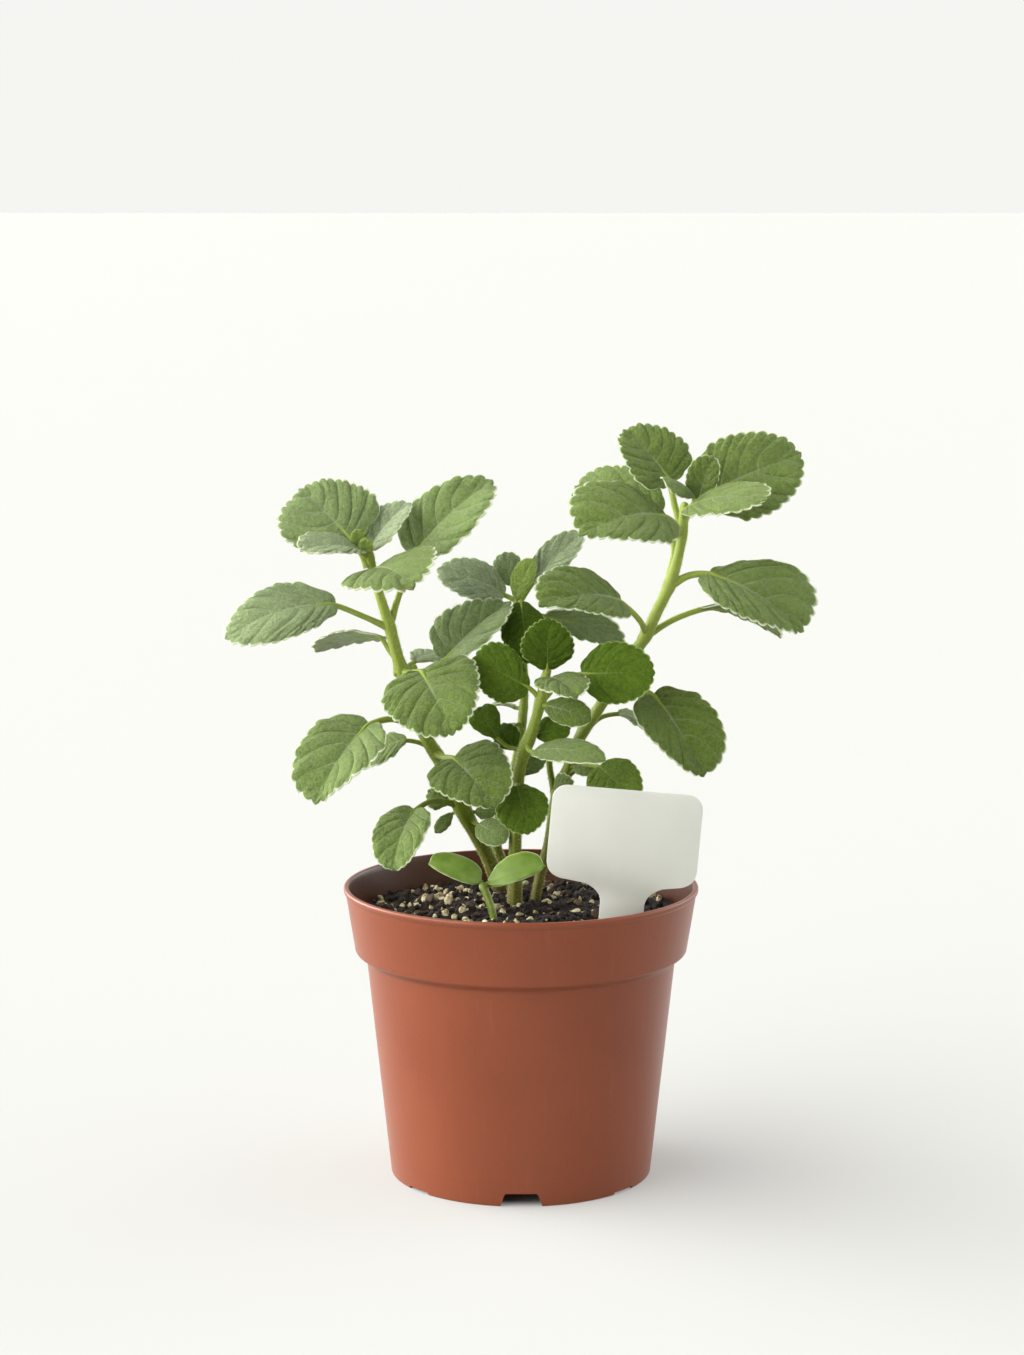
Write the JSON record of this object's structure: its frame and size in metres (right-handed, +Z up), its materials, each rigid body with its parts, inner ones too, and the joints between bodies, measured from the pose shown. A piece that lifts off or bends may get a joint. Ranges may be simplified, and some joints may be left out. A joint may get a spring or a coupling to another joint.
{
  "type": "potted plectranthus",
  "caption": "A young velvety plectranthus with scalloped grey-green leaves in a terracotta-brown nursery pot, with soil, a seedling and a blank white plant label.",
  "frame": {"origin": "where the pot's axis meets the ground it stands on, under the middle of the plant", "axes": "+Z up along the pot's axis, -Y towards the front, the side that the blank plant label faces, +X to the right seen from the front"},
  "size_m": [0.1819, 0.11, 0.2339],
  "materials": {
    "pot_plastic": "satin terracotta-brown moulded polypropylene",
    "potting_soil": "moist dark peat with bark crumbs and perlite grains",
    "left_foliage": "soft velvety grey-green leaf",
    "right_foliage": "soft velvety green leaf",
    "front_foliage": "soft velvety deep green leaf",
    "back_foliage": "soft velvety green leaf",
    "seedling_tissue": "smooth bright green seed leaf",
    "label_plastic": "satin white plastic sheet"
  },
  "bodies": {
    "root": {"pot": "pot_plastic", "soil": "potting_soil", "leafy_stem_left": "left_foliage", "leafy_stem_right": "right_foliage", "leafy_stem_front": "front_foliage", "leafy_stem_back": "back_foliage", "seedling": "seedling_tissue", "plant_label": "label_plastic"}
  },
  "joints": []
}
